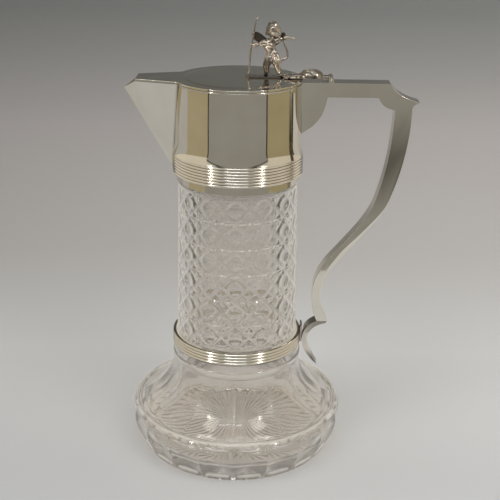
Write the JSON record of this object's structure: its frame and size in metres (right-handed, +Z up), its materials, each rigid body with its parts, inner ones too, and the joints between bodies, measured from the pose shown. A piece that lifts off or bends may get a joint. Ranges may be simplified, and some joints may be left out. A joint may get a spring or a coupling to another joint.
{
  "type": "claret jug",
  "caption": "Cut glass claret jug with silver collar, pointed spout, strip handle and a hinged lid with a winged figure.",
  "frame": {"origin": "centre of the glass foot's underside, on the surface that the jug stands on", "axes": "+Z up along the neck, +X towards the handle, -X towards the spout"},
  "size_m": [0.18, 0.14, 0.2822],
  "materials": {
    "crystal": "polished cut crystal",
    "silver": "polished silver plate",
    "cement": "plaster cement",
    "steel": "satin"
  },
  "bodies": {
    "jug": {"glass_body": "crystal", "neck_cement": "cement", "lower_band_cement": "cement", "lower_band": "silver", "collar_sleeve": "silver", "collar_band": "silver", "collar_wall": "silver", "collar_rim_wire": "silver", "spout": "silver", "handle_arm": "silver", "handle_scroll": "silver", "handle_pad": "silver", "hinge_knuckles": "silver", "hinge_pin": "silver"},
    "lid": {"lid_plate": "silver", "lid_bezel": "silver", "hinge_strap": "silver", "strap_scrolls": "silver", "strap_shell": "silver", "figure_plinth": "silver", "figure_body": "silver", "figure_wings": "silver", "figure_bow": "silver", "figure_drapery": "silver", "figure_stud": "steel", "figure_nut": "steel"}
  },
  "joints": [
    {"name": "lid_hinge", "type": "hinge", "parent": "jug", "child": "lid", "pos_m": [0.056, 0, 0.2459], "axis": [0, 1, 0], "range_deg": [0, 100]}
  ]
}
